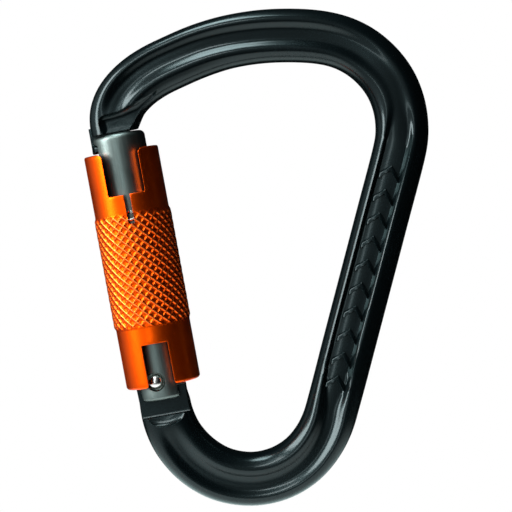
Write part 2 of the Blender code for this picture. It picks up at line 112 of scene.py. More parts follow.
def add_node(
    tree: bpy.types.NodeTree,
    kind: str,
    settings: dict[str, Any] | None = None,
    inputs: dict[Any, Any] | None = None,
) -> bpy.types.Node:
    """Adds one node with its settings, and its inputs' values or links.

    Args:
        tree: the node tree.
        kind: the node's Blender type.
        settings: attributes of the node.
        inputs: by input name or number, a value or the socket that feeds it.

    Returns:
        The new node.
    """
    made = tree.nodes.new(kind)
    for key, value in (settings or {}).items():
        setattr(made, key, value)
    for key, value in (inputs or {}).items():
        if isinstance(value, bpy.types.NodeSocket):
            tree.links.new(value, made.inputs[key])
        else:
            made.inputs[key].default_value = value
    return made


def start_group(name: str, sockets: dict[str, str]) -> tuple[bpy.types.NodeTree, Any]:
    """Starts a Geometry Nodes tree, with geometry in and out and named inputs.

    Args:
        name: the tree's name.
        sockets: each further input's kind, by its name.

    Returns:
        The tree, and its inputs' sockets.
    """
    group = bpy.data.node_groups.new(name, "GeometryNodeTree")
    face = group.interface
    face.new_socket("Geometry", in_out="INPUT", socket_type="NodeSocketGeometry")
    for socket, kind in sockets.items():
        face.new_socket(socket, in_out="INPUT", socket_type=f"NodeSocket{kind}")
    face.new_socket("Geometry", in_out="OUTPUT", socket_type="NodeSocketGeometry")
    return group, add_node(group, "NodeGroupInput").outputs


def end_group(
    group: bpy.types.NodeTree, geometry: bpy.types.NodeSocket,
    finish: bpy.types.NodeSocket,
) -> None:
    """Ends a tree with Realize Instances and Set Material.

    Args:
        group: the tree.
        geometry: the socket that holds the finished shape.
        finish: the socket that holds its material.
    """
    real = add_node(group, "GeometryNodeRealizeInstances", {}, {"Geometry": geometry})
    done = add_node(group, "GeometryNodeSetMaterial", {},
                    {"Geometry": real.outputs["Geometry"], "Material": finish})
    add_node(group, "NodeGroupOutput", {}, {"Geometry": done.outputs["Geometry"]})


def run_group(
    obj: bpy.types.Object, group: bpy.types.NodeTree, values: dict[str, Any]
) -> bpy.types.Object:
    """Runs a tree on an object, with its inputs set by their identifiers.

    Args:
        obj: the object.
        group: the tree.
        values: each input's value, by its name.

    Returns:
        The same object, as a plain mesh.
    """
    step = obj.modifiers.new(group.name, "NODES")
    step.node_group = group
    for item in group.interface.items_tree:
        if item.in_out == "INPUT" and item.name in values:
            step[item.identifier] = values[item.name]
    return settle(obj)


@dataclass(frozen=True)
class MetalFinish:
    """A metal surface: its colour, its gloss, and the marks that making it left.

    grain_mm is the size of the surface's grain, and stretch draws the grain out
    along the gate's tube, as turning and drawing do.
    """

    name: str
    slot: str
    colour: str
    worn: str
    roughness: float
    spread: float
    metallic: float
    grain_mm: float
    grain_depth: float
    stretch: float = 1.0
    coat: float = 0.0
    coat_roughness: float = 0.1
    gloss_tint: str = "#FFFFFF"
    patch_mm: float = 9.0
    # a paler colour painted along the knurl's crests: a painted highlight
    crest_highlight_colour: str = ""
    edge_mm: float = 0.14

    def made(self, lean: float = 0.0) -> bpy.types.Material:
        """Builds the finish.

        Args:
            lean: the gate tube's lean from upright, in radians.

        Returns:
            The material, made once and used again after that.
        """
        known = bpy.data.materials.get(self.name)
        if known is not None:
            return known
        material = bpy.data.materials.new(self.name)
        material.use_nodes = True
        tree = material.node_tree
        shader = tree.nodes["Principled BSDF"]
        place = add_node(tree, "ShaderNodeTexCoord").outputs["Object"]
        upright = add_node(
            tree, "ShaderNodeMapping", {"vector_type": "POINT"},
            {"Vector": place, "Rotation": (0.0, lean, 0.0)},
        )
        drawn = add_node(
            tree, "ShaderNodeMapping", {"vector_type": "POINT"},
            {"Vector": upright.outputs[0], "Scale": (1.0, 1.0, 1.0 / self.stretch)},
        ).outputs[0]
        # one noise cell is about the grain's own size
        grain = add_node(
            tree, "ShaderNodeTexNoise", {},
            {"Vector": drawn, "Scale": 1000 / self.grain_mm, "Detail": 3.0,
             "Roughness": 0.6},
        ).outputs["Fac"]
        patch = add_node(
            tree, "ShaderNodeTexNoise", {},
            {"Vector": place, "Scale": 1000 / self.patch_mm, "Detail": 2.0},
        ).outputs["Fac"]
        blend = add_node(
            tree, "ShaderNodeMath", {"operation": "MULTIPLY_ADD"},
            {0: grain, 1: 0.55, 2: 0.0},
        )
        both = add_node(
            tree, "ShaderNodeMath", {"operation": "MULTIPLY_ADD"},
            {0: patch, 1: 0.45, 2: blend.outputs[0]},
        ).outputs[0]
        gloss = add_node(
            tree, "ShaderNodeMapRange", {},
            {"Value": both, "From Min": 0.3, "From Max": 0.7,
             "To Min": self.roughness - self.spread,
             "To Max": self.roughness + self.spread},
        ).outputs[0]
        tint = add_node(
            tree, "ShaderNodeMix", {"data_type": "RGBA"},
            {"Factor": both, "A": linear(self.colour), "B": linear(self.worn)},
        )
        colour = tint.outputs["Result"]
        if self.crest_highlight_colour:
            # the knurl stores how near each point is to a ridge's crest; the crests are
            # painted a paler orange there, a painted highlight
            crest = add_node(tree, "ShaderNodeAttribute", {"attribute_name": "ridge"})
            shown = add_node(tree, "ShaderNodeMapRange", {"interpolation_type": "SMOOTHSTEP"},
                             {"Value": crest.outputs["Fac"], "From Min": 0.35,
                              "From Max": 0.95})
            crest_highlighted = add_node(tree, "ShaderNodeMix", {"data_type": "RGBA"}, {
                "Factor": shown.outputs[0], "A": colour, "B": linear(self.crest_highlight_colour)})
            colour = crest_highlighted.outputs["Result"]
        # tumbling breaks every edge by about a tenth of a millimetre
        broken = add_node(tree, "ShaderNodeBevel", {"samples": 6},
                          {"Radius": self.edge_mm * MM}).outputs[0]
        bump = add_node(
            tree, "ShaderNodeBump", {},
            {"Height": grain, "Strength": self.grain_depth, "Distance": 0.05 * MM,
             "Normal": broken},
        ).outputs[0]
        tree.links.new(colour, shader.inputs["Base Color"])
        tree.links.new(gloss, shader.inputs["Roughness"])
        tree.links.new(bump, shader.inputs["Normal"])
        shader.inputs["Metallic"].default_value = self.metallic
        shader.inputs["Specular Tint"].default_value = linear(self.gloss_tint)
        shader.inputs["Coat Weight"].default_value = self.coat
        shader.inputs["Coat Roughness"].default_value = self.coat_roughness
        return material


# Forged, tumbled and black anodised aluminium: deep black that still takes soft,
# faintly blue-green lights, with a fine blasted grain that breaks them up.
BLACK_ANODISED = MetalFinish(
    "black_anodised_aluminium", "black_anodised", "#060B0D", "#111B1E", 0.25, 0.06,
    0.6, 0.35, 0.09, coat=0.3, coat_roughness=0.15, gloss_tint="#B4DCDC", patch_mm=14.0,
    edge_mm=0.22,
)
# Extruded tube, brushed along its length and clear anodised: a cool satin grey
# with faint lines up the tube.
SATIN_GREY = MetalFinish(
    "brushed_grey_aluminium", "satin_grey", "#56615F", "#75827F", 0.38, 0.06,
    1.0, 0.3, 0.3, stretch=30.0, patch_mm=5.0,
)
# Turned and orange anodised aluminium: the dye colours the metal's own
# reflections, so it runs from bright orange to nearly black.
ORANGE_ANODISED = MetalFinish(
    "orange_anodised_aluminium", "orange_anodised", "#FF5200", "#FF5C04", 0.33, 0.05,
    0.97, 0.25, 0.1, patch_mm=8.0,
)
# The same dye on the knurl, painted paler along its crests as a painted highlight.
KNURLED_ORANGE = MetalFinish(
    "knurled_orange_aluminium", "orange_anodised", "#E84800", "#F45204", 0.35, 0.05,
    0.97, 0.25, 0.08, patch_mm=8.0, crest_highlight_colour="#FF8238", edge_mm=0.05,
)
# Cold-headed stainless rivet, left bright: near-mirror highlights.
BRIGHT_STAINLESS = MetalFinish(
    "bright_stainless_steel", "stainless", "#D2D2CE", "#E4E4E0", 0.16, 0.04,
    1.0, 0.3, 0.1,
)
# Drawn spring wire: bright, with faint die lines.
SPRING_WIRE = MetalFinish(
    "drawn_spring_wire", "spring_wire", "#B4B4B0", "#CCCCC8", 0.24, 0.05,
    1.0, 0.2, 0.15,
)
TORSION_WIRE = MetalFinish(
    "drawn_torsion_wire", "torsion_wire", "#B0B0AC", "#C8C8C4", 0.24, 0.05,
    1.0, 0.2, 0.15,
)
# Turned plunger steel: fine rings across it.
TURNED_STEEL = MetalFinish(
    "turned_plunger_steel", "turned_steel", "#A6A6A2", "#BCBCB8", 0.3, 0.06,
    1.0, 0.25, 0.25, stretch=0.1,
)
HARD_STEEL = MetalFinish(
    "hardened_pin_steel", "pin_steel", "#8E8E8C", "#A2A2A0", 0.28, 0.05,
    1.0, 0.25, 0.15,
)
# Moulded acetal: waxy black plastic with a soft sheen.
BLACK_ACETAL = MetalFinish(
    "moulded_black_acetal", "black_acetal", "#121212", "#1B1B1B", 0.42, 0.06,
    0.0, 0.3, 0.15,
)


# ---------------------------------------------------------------- mesh helpers
def smoothstep(low: float, high: float, value: np.ndarray) -> np.ndarray:
    """Rises smoothly from 0 at low to 1 at high."""
    t = np.clip((value - low) / (high - low), 0.0, 1.0)
    return t * t * (3 - 2 * t)


def arc(x: float, z: float, across: float, up: float, count: int,
        start: float = 0.0) -> list[Point2]:
    """Draws a quarter turn of a circle or an ellipse.

    Args:
        x: the centre's first coordinate.
        z: the centre's second coordinate.
        across: the radius along the first axis, negative to mirror it.
        up: the radius along the second axis, negative to mirror it.
        count: how many points it has.
        start: the angle that it starts from.

    Returns:
        The points.
    """
    return [(x + across * math.cos(a), z + up * math.sin(a))
            for a in np.linspace(start, start + QUARTER, count)]


def both_sides(right: list[Point2]) -> list[Point2]:
    """Closes the right half of an outline with its mirror image."""
    return [(-x, z) for x, z in right] + right[::-1]


def linked(name: str, data: bpy.types.ID) -> bpy.types.Object:
    """Makes an object and links it to the scene.

    Args:
        name: the object's name.
        data: its mesh, light or camera.

    Returns:
        The object.
    """
    obj = bpy.data.objects.new(name, data)
    bpy.context.scene.collection.objects.link(obj)
    return obj


def lathe(
    profile: Sequence[Point2], steps: int = 128, ring: bool = False
) -> bmesh.types.BMesh:
    """Spins a profile about Z.

    Args:
        profile: (radius, height) points.
        steps: how many steps make the turn.
        ring: True if the profile is a closed loop, as a ring's is.

    Returns:
        A closed mesh.
    """
    made = bmesh.new()
    turns = [2 * math.pi * k / steps for k in range(steps)]
    rings: list[list[bmesh.types.BMVert]] = []
    for radius, height in profile:
        if radius < 1e-6:
            rings.append([made.verts.new((0, 0, height))])
            continue
        rings.append([
            made.verts.new((radius * math.cos(t), radius * math.sin(t), height))
            for t in turns
        ])
    pairs = list(zip(rings, rings[1:])) + ([(rings[-1], rings[0])] if ring else [])
    for one, two in pairs:
        for k in range(steps):
            n = (k + 1) % steps
            corners = [one[k % len(one)], one[n % len(one)],
                       two[n % len(two)], two[k % len(two)]]
            made.faces.new(list(dict.fromkeys(corners)))
    return made


def drill(radius: float, low: float, high: float, steps: int) -> bmesh.types.BMesh:
    """Returns a plain round rod along Z, for drilling with."""
    return lathe([(0, low), (radius, low), (radius, high), (0, high)], steps)


def prism(outline: Sequence[Point2], low: float, high: float) -> bmesh.types.BMesh:
    """Extrudes an outline of (x, z) points along Y, from low to high.

    Args:
        outline: the (x, z) points.
        low: the lower Y.
        high: the upper Y.

    Returns:
        A closed mesh.
    """
    made = bmesh.new()
    rings = [[made.verts.new((x, y, z)) for x, z in outline] for y in (low, high)]
    for k in range(len(outline)):
        n = (k + 1) % len(outline)
        made.faces.new((rings[0][k], rings[0][n], rings[1][n], rings[1][k]))
    made.faces.new(rings[0])
    made.faces.new(rings[1])
    return made


def side_prism(outline: Sequence[Point2], low: float, high: float) -> bmesh.types.BMesh:
    """Extrudes an outline of (y, z) points along X, from low to high.

    Args:
        outline: the (y, z) points.
        low: the lower X.
        high: the upper X.

    Returns:
        A closed mesh.
    """
    made = prism(outline, low, high)
    for vert in made.verts:
        vert.co = Vector((vert.co.y, vert.co.x, vert.co.z))
    return made


def stack(levels: Sequence[Sequence[Point3]]) -> bmesh.types.BMesh:
    """Joins levels of matching points into one closed solid.

    Args:
        levels: the levels in order, each with the same number of points.

    Returns:
        A closed mesh.
    """
    made = bmesh.new()
    rings = [[made.verts.new(p) for p in level] for level in levels]
    for one, two in zip(rings, rings[1:]):
        for k in range(len(one)):
            n = (k + 1) % len(one)
            made.faces.new((one[k], one[n], two[n], two[k]))
    made.faces.new(rings[0])
    made.faces.new(rings[-1])
    return made


def block(low: Point3, high: Point3) -> bmesh.types.BMesh:
    """Returns a box between two corners, for cutting with."""
    return prism([(low[0], low[2]), (high[0], low[2]), (high[0], high[2]),
                  (low[0], high[2])], low[1], high[1])


def about_y(made: bmesh.types.BMesh, x: float = 0.0, z: float = 0.0,
            back: bool = False) -> bmesh.types.BMesh:
    """Turns a shape made about Z so that its axis runs along Y through (x, z).

    Args:
        made: the shape, which is changed.
        x: the new axis's X.
        z: the new axis's Z.
        back: True to point it towards the back.

    Returns:
        The same shape.
    """
    spin = math.pi / 2 * (-1 if back else 1)
    turn = Matrix.Translation((x, 0, z)) @ Matrix.Rotation(spin, 4, "X")
    bmesh.ops.transform(made, matrix=turn, verts=made.verts)
    return made


def plain_object(name: str, made: bmesh.types.BMesh, place: Matrix) -> bpy.types.Object:
    """Makes an object at the origin, with its place in its mesh.

    Args:
        name: the piece's name.
        made: its mesh, in millimetres; it is freed.
        place: where it goes, in metres.

    Returns:
        The object, linked to the scene.
    """
    bmesh.ops.transform(
        made, matrix=place @ Matrix.Diagonal((MM, MM, MM, 1.0)), verts=made.verts
    )
    bmesh.ops.recalc_face_normals(made, faces=made.faces)
    if made.calc_volume(signed=True) < 0:
        bmesh.ops.reverse_faces(made, faces=made.faces)
    mesh = bpy.data.meshes.new(name)
    made.to_mesh(mesh)
    made.free()
    return linked(name, mesh)


def settle(obj: bpy.types.Object) -> bpy.types.Object:
    """Applies an object's modifiers, so that it is a plain mesh.

    Args:
        obj: the object.

    Returns:
        The same object.
    """
    graph = bpy.context.evaluated_depsgraph_get()
    graph.update()
    mesh = bpy.data.meshes.new_from_object(obj.evaluated_get(graph))
    mesh.name = obj.name
    obj.modifiers.clear()
    obj.data = mesh
    return obj


def carve(
    obj: bpy.types.Object,
    place: Matrix,
    shapes: Sequence[tuple[Cut, bmesh.types.BMesh]],
) -> bpy.types.Object:
    """Cuts or joins shapes, in order, with exact Booleans.

    Args:
        obj: the object to change.
        place: the frame that the shapes are drawn in.
        shapes: each shape and what it does.

    Returns:
        The same object, as a plain mesh.
    """
    tools = []
    for cut, shape in shapes:
        tool = plain_object("tool", shape, place)
        tools.append(tool)
        step = obj.modifiers.new(cut.name, "BOOLEAN")
        step.operation, step.solver, step.object = cut.value, "EXACT", tool
    settle(obj)
    for tool in tools:
        bpy.data.objects.remove(tool, do_unlink=True)
    return obj


def soften(obj: bpy.types.Object, width_mm: float, angle: float = 38.0) -> bpy.types.Object:
    """Rounds the sharp edges a little, as deburring does, and shades the rest smooth.

    Args:
        obj: the object.
        width_mm: the rounding's width, in mm.
        angle: edges sharper than this are rounded, in degrees.

    Returns:
        The same object, as a plain mesh.
    """
    step = obj.modifiers.new("deburred", "BEVEL")
    step.width, step.segments = width_mm * MM, 2
    step.limit_method, step.angle_limit = "ANGLE", math.radians(angle)
    step.use_clamp_overlap, step.harden_normals = True, False
    settle(obj)
    shade(obj, angle)
    even = obj.modifiers.new("even_shading", "WEIGHTED_NORMAL")
    even.keep_sharp, even.weight = True, 60
    return settle(obj)


def shade(obj: bpy.types.Object, angle: float = 32.0) -> bpy.types.Object:
    """Shades smooth, with edges sharper than the angle kept crisp.

    Args:
        obj: the object.
        angle: the angle, in degrees.

    Returns:
        The same object.
    """
    mesh = obj.data
    mesh.shade_smooth()
    mesh.set_sharp_from_angle(angle=math.radians(angle))
    return obj


def dress(
    obj: bpy.types.Object, finish: MetalFinish, rides: Rides | None, space: "GateSpace",
    *nodes: str,
) -> bpy.types.Object:
    """Gives a piece its finish and its body, and hides the CAD nodes it stands for.

    Args:
        obj: the piece.
        finish: its surface.
        rides: the body that it moves with, or None to leave it attached to no body.
        space: the gate's own frame, for the finish's direction.
        nodes: CAD nodes that it replaces.

    Returns:
        The piece.
    """
    obj.data.materials.clear()
    obj.data.materials.append(finish.made(space.lean))
    if rides is not None:
        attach(obj, rides.value)
    if nodes:
        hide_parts(*nodes)
    log.info("%s: %d faces, %s", obj.name, len(obj.data.polygons), finish.name)
    return obj


# ------------------------------------------------------------------ the spaces
@dataclass
class GateSpace:
    """The gate's own frame: x inwards, y as the world's, z up the tube, in mm from
    the hinge pin. The tube's axis lies a little inwards of the pin."""

    hinge: Vector
    tube_foot: Vector
    down: Vector

    @classmethod
    def from_record(cls, record: dict[str, Any]) -> "GateSpace":
        """Reads the hinge and the sleeve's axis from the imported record.

        Args:
            record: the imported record.

        Returns:
            The frame.
        """
        joints = {j["name"]: j for j in record["behaviour"]["joints"]}
        return cls(
            Vector(joints["gate_hinge"]["pos_m"]),
            Vector(joints["sleeve_turn"]["pos_m"]),
            Vector(joints["sleeve_turn"]["axis"]).normalized(),
        )

    @property
    def lean(self) -> float:
        """The tube's lean from upright, in radians."""
        return math.atan2(self.down.x, -self.down.z)

    @property
    def offset(self) -> float:
        """The tube axis's distance inwards of the hinge pin, in mm."""
        return (self.tube_foot - self.hinge).length / MM

    @property
    def pin(self) -> Matrix:
        """The frame at the hinge pin."""
        return Matrix.Translation(self.hinge) @ Matrix.Rotation(-self.lean, 4, "Y")

    @property
    def tube(self) -> Matrix:
        """The frame on the tube's axis, level with the hinge pin."""
        return Matrix.Translation(self.tube_foot) @ Matrix.Rotation(-self.lean, 4, "Y")

    @property
    def tube_mm(self) -> Matrix:
        """The tube's frame, for points in mm."""
        return self.tube @ Matrix.Diagonal((MM, MM, MM, 1.0))


@dataclass
class Levels:
    """Heights and radii along the gate, in mm from the hinge."""

    gate_top: float = 58.9
    gate_bottom: float = -4.5
    gate_radius: float = 6.28
    bore: float = 7.2
    rim_top: float = 54.7
    rim_bottom: float = -1.1
    notch_floor: float = 44.4
    band_top: float = 40.2
    band_bottom: float = 13.0
    sleeve_radius: float = 8.82
    band_radius: float = 9.12
    neck_end: float = 57.15
    block_end: float = 55.02
    keyhole_floor: float = 48.4
    coil_low: float = 24.9
    coil_high: float = 40.3
    rivet_hole: float = 1.6
    sleeve_neck: float = 6.38
    seat_low: float = 13.5
    seat_high: float = 24.0
    slot: float = 1.55


# ------------------------------------------------------------------- the frame
@dataclass
class ForgedFrame:
    """The forged bar, from the nose over the top, down the spine and round to the
    hinge's tang, with a smooth channel along both broad faces."""

    space: GateSpace
    at: Levels
    depth: float = 11.4
    channel_depth: float = 1.75
    channel_reach: float = 3.3
    power: float = 2.7
    around: int = 128
    step: float = 0.8
    tang_half: float = 3.1
    tang_inner: float = 6.5
    tang_foot: float = -9.4
    tang_step: float = -8.4
    line: list[tuple[float, float, float, float, float]] = field(default_factory=lambda: [
        # X, Z, the bar's width, the channel's strength and its shift outwards
        (-40.75, -18.6, 10.0, 0.0, 0.8), (-40.85, -16.3, 10.9, 0.0, 0.8),
        (-40.65, -13.9, 12.0, 0.1, 0.8), (-39.95, -11.1, 12.4, 0.5, 0.8),
        (-38.4, -8.2, 12.5, 0.85, 0.9), (-35.25, -4.95, 12.6, 1.0, 1.0),
        (-31.35, -2.3, 12.6, 1.0, 1.1), (-27.2, -0.25, 12.6, 1.0, 1.1),
        (-20.7, 2.55, 12.6, 1.0, 0.9), (-13.4, 4.75, 12.5, 1.0, 0.5),
        (-4.8, 6.0, 12.55, 1.0, 0.2), (4.4, 6.05, 12.55, 1.0, 0.1),
        (11.1, 5.05, 12.45, 0.9, 0.0), (16.4, 2.85, 12.45, 0.7, 0.0),
        (20.85, -0.6, 12.4, 0.4, 0.0), (24.3, -5.05, 12.4, 0.25, 0.0),
        (26.4, -10.3, 12.4, 0.3, -0.4), (27.1, -15.9, 12.45, 0.6, -0.9),
        (26.4, -21.5, 12.5, 0.9, -1.2), (22.45, -36.8, 12.5, 1.0, -1.3),
        (18.5, -52.0, 12.5, 1.0, -1.3), (14.5, -67.4, 12.5, 1.0, -1.3),
        (12.6, -74.8, 12.45, 1.0, -1.0), (11.05, -80.6, 12.4, 1.0, -0.5),
        (9.65, -85.3, 12.4, 1.0, 0.0), (7.25, -89.95, 12.4, 1.0, 0.4),
        (3.5, -94.25, 12.5, 1.0, 0.7), (-1.8, -97.4, 12.6, 1.0, 0.8),
        (-8.3, -98.7, 12.6, 1.0, 0.8), (-15.35, -97.6, 12.7, 1.0, 0.8),
        (-21.25, -94.2, 12.7, 0.9, 0.8), (-25.6, -89.4, 12.5, 0.5, 0.6),
        (-27.95, -84.5, 12.3, 0.0, 0.3), (-28.85, -80.6, 12.0, 0.0, 0.0),
        (-29.25, -77.9, 11.9, 0.0, 0.0),
    ])

    def fair_line(self) -> np.ndarray:
        """Returns the middle line as evenly spaced rows, faired so that its bends
        run into each other without flats.

        Returns:
            Rows of X, Z, width, channel strength and channel shift.
        """
        fine, reach, spread = 0.4, 12, 1.7
        knots = np.array(self.line)
        rows = []
        for k in range(len(knots) - 1):
            a = knots[max(k - 1, 0)]
            b, c = knots[k], knots[k + 1]
            d = knots[min(k + 2, len(knots) - 1)]
            for f in np.linspace(0, 1, 24, endpoint=False):
                rows.append(0.5 * (2 * b + (c - a) * f + (2 * a - 5 * b + 4 * c - d) * f**2
                                   + (3 * b - a - 3 * c + d) * f**3))
        rows.append(knots[-1])
        dense = np.array(rows)
        run = np.r_[0, np.cumsum(np.hypot(*np.diff(dense[:, :2], axis=0).T))]
        even = np.arange(0, run[-1], fine)
        dense = np.stack([np.interp(even, run, dense[:, j]) for j in range(5)], 1)
        kernel = np.exp(-0.5 * (np.arange(-reach, reach + 1) * fine / spread) ** 2)
        kernel /= kernel.sum()

        def smoothed(given: np.ndarray) -> np.ndarray:
            """Averages each row with its neighbours, holding the two ends.

            Args:
                given: the rows.

            Returns:
                The smoothed rows.
            """
            head = 2 * given[0] - given[reach:0:-1]
            tail = 2 * given[-1] - given[-2:-reach - 2:-1]
            padded = np.concatenate([head, given, tail])
            return np.stack([np.convolve(padded[:, j], kernel, "valid")
                             for j in range(5)], 1)

        # the second pass gives back what the first took off the bends
        faired = smoothed(dense)
        faired += smoothed(dense - faired)
        return faired[::max(1, round(self.step / fine))]

    def section(self, width: float, strength: float, shift: float) -> np.ndarray:
        """Returns the bar's outline as (across, depth) rows.

        Args:
            width: the bar's width.
            strength: the channel's depth here, from 0 to 1.
            shift: how far outwards the channel's middle lies.

        Returns:
            The outline, as (across, depth) rows.
        """
        half, deep = width / 2, self.depth / 2
        t = np.linspace(0, 2 * np.pi, self.around, endpoint=False)
        c, s = np.cos(t), np.sin(t)
        across = half * np.sign(c) * np.abs(c) ** (2 / self.power)
        depth = deep * np.sign(s) * np.abs(s) ** (2 / self.power)
        away = np.abs(across - shift) / self.channel_reach
        # the spine's channel has a flat floor; round the bends it is a soft hollow
        flat = float(smoothstep(0.3, 1.1, np.array(-shift)))
        low, high = 0.26 + 0.44 * flat, 1.08 - 0.04 * flat
        sunk = self.channel_depth * strength * (1 - smoothstep(low, high, away))
        # a faint bead along each edge of the channel, where the forging fills
        bead = 0.1 * strength * np.exp(-((away - 1.25) / 0.16) ** 2)
        broad = smoothstep(0.25, 0.6, np.abs(s))
        return np.stack([across, depth - np.sign(s) * (sunk - bead) * broad], 1)

    def loft(self) -> bmesh.types.BMesh:
        """Sweeps the section along the middle line.

        Returns:
            A closed mesh.
        """
        rows = self.fair_line()
        ahead = np.gradient(rows[:, :2], axis=0)
        ahead /= np.linalg.norm(ahead, axis=1)[:, None]
        made = bmesh.new()
        rings = []
        for (x, z, width, strength, shift), (ax, az) in zip(rows, ahead):
            outline = self.section(width, min(max(strength, 0.0), 1.0), shift)
            rings.append([
                made.verts.new((x - az * a, d, z + ax * a)) for a, d in outline
            ])
        for one, two in zip(rings, rings[1:]):
            for k in range(len(one)):
                n = (k + 1) % len(one)
                made.faces.new((one[k], one[n], two[n], two[k]))
        made.faces.new(rings[0])
        made.faces.new(rings[-1])
        return made

    def nose_level(self, z: float, half: float, inner: float, shift: float,
                   slope: float) -> list[Point3]:
        """Returns one level of the nose: a round outer face and a flat inner end.

        Args:
            z: its height at the outer face.
            half: half its thickness.
            inner: its inner face, from the tube axis.
            shift: how far its outer face is moved inwards.
            slope: its rise per millimetre inwards.

        Returns:
            The level's points.
        """
        count, play = 13, 0.22
        radius = self.at.bore - play
        reach = math.asin(half / radius)
        turns = [reach * (2 * k / (count - 1) - 1) for k in range(count)]
        off = self.space.offset
        ring = [(off + shift - radius * math.cos(t), radius * math.sin(t), z) for t in turns]
        ring += [(off + inner, half, z), (off + inner, -half, z)]
        outer = off + shift - radius
        return [(x, y, z + slope * (x - outer)) for x, y, z in ring]

    def nose(self) -> bmesh.types.BMesh:
        """Returns the keyhole nose: a thin neck, and a thicker bulb under it.

        Returns:
            A closed mesh.
        """
        top, neck, end = self.at.gate_top, self.at.neck_end, self.at.block_end
        return stack([self.nose_level(*row) for row in (
            # height, half its thickness, inner face, shift inwards and slope
            (top + 2.2, 1.95, 2.9, 0.42, 0.0), (top + 0.2, 2.0, 3.0, 0.42, 0.0),
            (neck, 2.0, 3.0, 0.42, 0.0), (neck - 0.3, 2.6, 3.0, 0.42, 0.0),
            (neck - 0.6, 3.3, 2.9, 0.42, 0.0), (neck - 0.9, 3.5, 2.7, 0.42, 0.0),
            (end + 0.3, 3.5, 2.25, 0.36, 0.09), (end, 3.25, 2.1, 0.5, 0.09),
        )])

    def pocket(self, front: bool) -> bmesh.types.BMesh:
        """Returns the pocket that an end mill leaves beside the nose, above the
        gate: a flat floor that rises to the forged face in a hollow curve.

        Args:
            front: True for the side that faces the viewer.

        Returns:
            The shape to cut away.
        """
        rim: list[Point2] = [
            (-2.1, 56.0), (-2.4, 60.2), (-2.55, 61.7), (-2.3, 62.8), (-1.6, 63.5),
            (-0.5, 63.85), (1.4, 64.0), (3.2, 64.25), (5.0, 64.7), (6.7, 65.25),
            (13.0, 67.4), (13.0, 56.0),
        ]

        def inset(by: float) -> list[Point2]:
            """Moves the rim inwards, square to itself.

            Args:
                by: how far to move it.

            Returns:
                The moved rim.
            """
            moved = []
            for k, (x, z) in enumerate(rim):
                (ax, az), (bx, bz) = rim[k - 1], rim[(k + 1) % len(rim)]
                along = Vector((bx - ax, bz - az)).normalized()
                moved.append((x + along.y * by, z - along.x * by))
            return moved

        def sunk(y: float, by: float, z: float) -> float:
            """Tilts the floor, so that it is deepest under the upper wall."""
            return sign * (y + 0.3 * max(0.0, 62.4 - z) * min(1.0, by / 0.85))

        sign = -1 if front else 1
        depths = [(3.85, 2.1), (3.9, 1.8), (4.1, 1.3), (4.4, 0.85), (4.8, 0.46),
                  (5.2, 0.2), (5.6, 0.05), (6.0, -0.1), (9.0, -0.1)]
        return stack([[(x, sunk(y, by, z), z) for x, z in inset(by)] for y, by in depths])

    def run_out(self, front: bool) -> bmesh.types.BMesh:
        """Returns the shallow dish that the mill leaves under the tang's step."""
        return about_y(lathe([(0, 4.15), (6.4, 4.2), (7.8, 4.4), (8.8, 4.75), (9.5, 5.3),
                              (9.9, 6.0), (9.9, 9), (0, 9)], 96), 0.2, -1.1, back=not front)

    def tang(self) -> bmesh.types.BMesh:
        """Returns the hinge's tang, with its round end and the plunger's flat.

        Returns:
            A closed mesh.
        """
        flat, radius = 4.5, 5.0
        corner = math.sqrt(radius**2 - flat**2)
        inner, foot = self.tang_inner, self.tang_foot
        outline: list[Point2] = [(-4.7, foot), (inner, foot), (inner, -2.0),
                                 (inner - 0.5, -1.5)]
        for start, end in ((math.atan2(-1.0, radius), math.atan2(flat, corner)),
                           (math.atan2(flat, -corner), math.pi)):
            outline += [(radius * math.cos(start + (end - start) * k / 16),
                         radius * math.sin(start + (end - start) * k / 16))
                        for k in range(17)]
        return prism(outline, -self.tang_half, self.tang_half)

    def tang_side(self, front: bool) -> bmesh.types.BMesh:
        """Returns what is milled off one side of the bar to leave the tang: the
        recess down to its step.

        Args:
            front: True for the side that faces the viewer.

        Returns:
            The shape to cut away.
        """
        half, step = self.tang_half, self.tang_step
        outline = [(half, 14.0), (half, step + 0.5), (half + 0.15, step + 0.15),
                   (half + 0.5, step), (14.0, step), (14.0, 14.0)]
        if front:
            outline = [(-y, z) for y, z in outline]
        return side_prism(outline, -11.0, 11.0)

    def rim_room(self) -> bmesh.types.BMesh:
        """Returns what is eased off the inner shoulder, where the sleeve's rim passes."""
        return prism([(6.5, -3.0), (12.0, -3.0), (12.0, -8.6), (7.05, -6.6),
                      (6.6, -4.4)], -12, 12)

    def hinge_hole(self) -> bmesh.types.BMesh:
        """Returns the rivet's hole."""
        return about_y(drill(self.at.rivet_hole, -PAST, PAST, 48))

    def build(self) -> bpy.types.Object:
        """Builds the whole frame as one forging.

        Returns:
            The frame.
        """
        top, sides = self.at.gate_top, (True, False)
        made = plain_object("forged_frame", self.loft(), Matrix.Identity(4))
        carve(made, self.space.pin, [
            (Cut.TAKE_AWAY, block((-11, -12, top - 8), (11, 12, top + 0.35))),
            *[(Cut.TAKE_AWAY, self.pocket(front)) for front in sides],
            (Cut.JOIN, self.nose()),
            (Cut.TAKE_AWAY, block((-9.5, -12, -3.3), (9.5, 12, 12))),
            (Cut.TAKE_AWAY, self.rim_room()),
            (Cut.JOIN, self.tang()),
            *[(Cut.TAKE_AWAY, self.tang_side(front)) for front in sides],
            *[(Cut.TAKE_AWAY, self.run_out(front)) for front in sides],
            (Cut.TAKE_AWAY, self.hinge_hole()),
        ])
        shade(made, 34)
        return dress(made, BLACK_ANODISED, Rides.FRAME, self.space, "body")


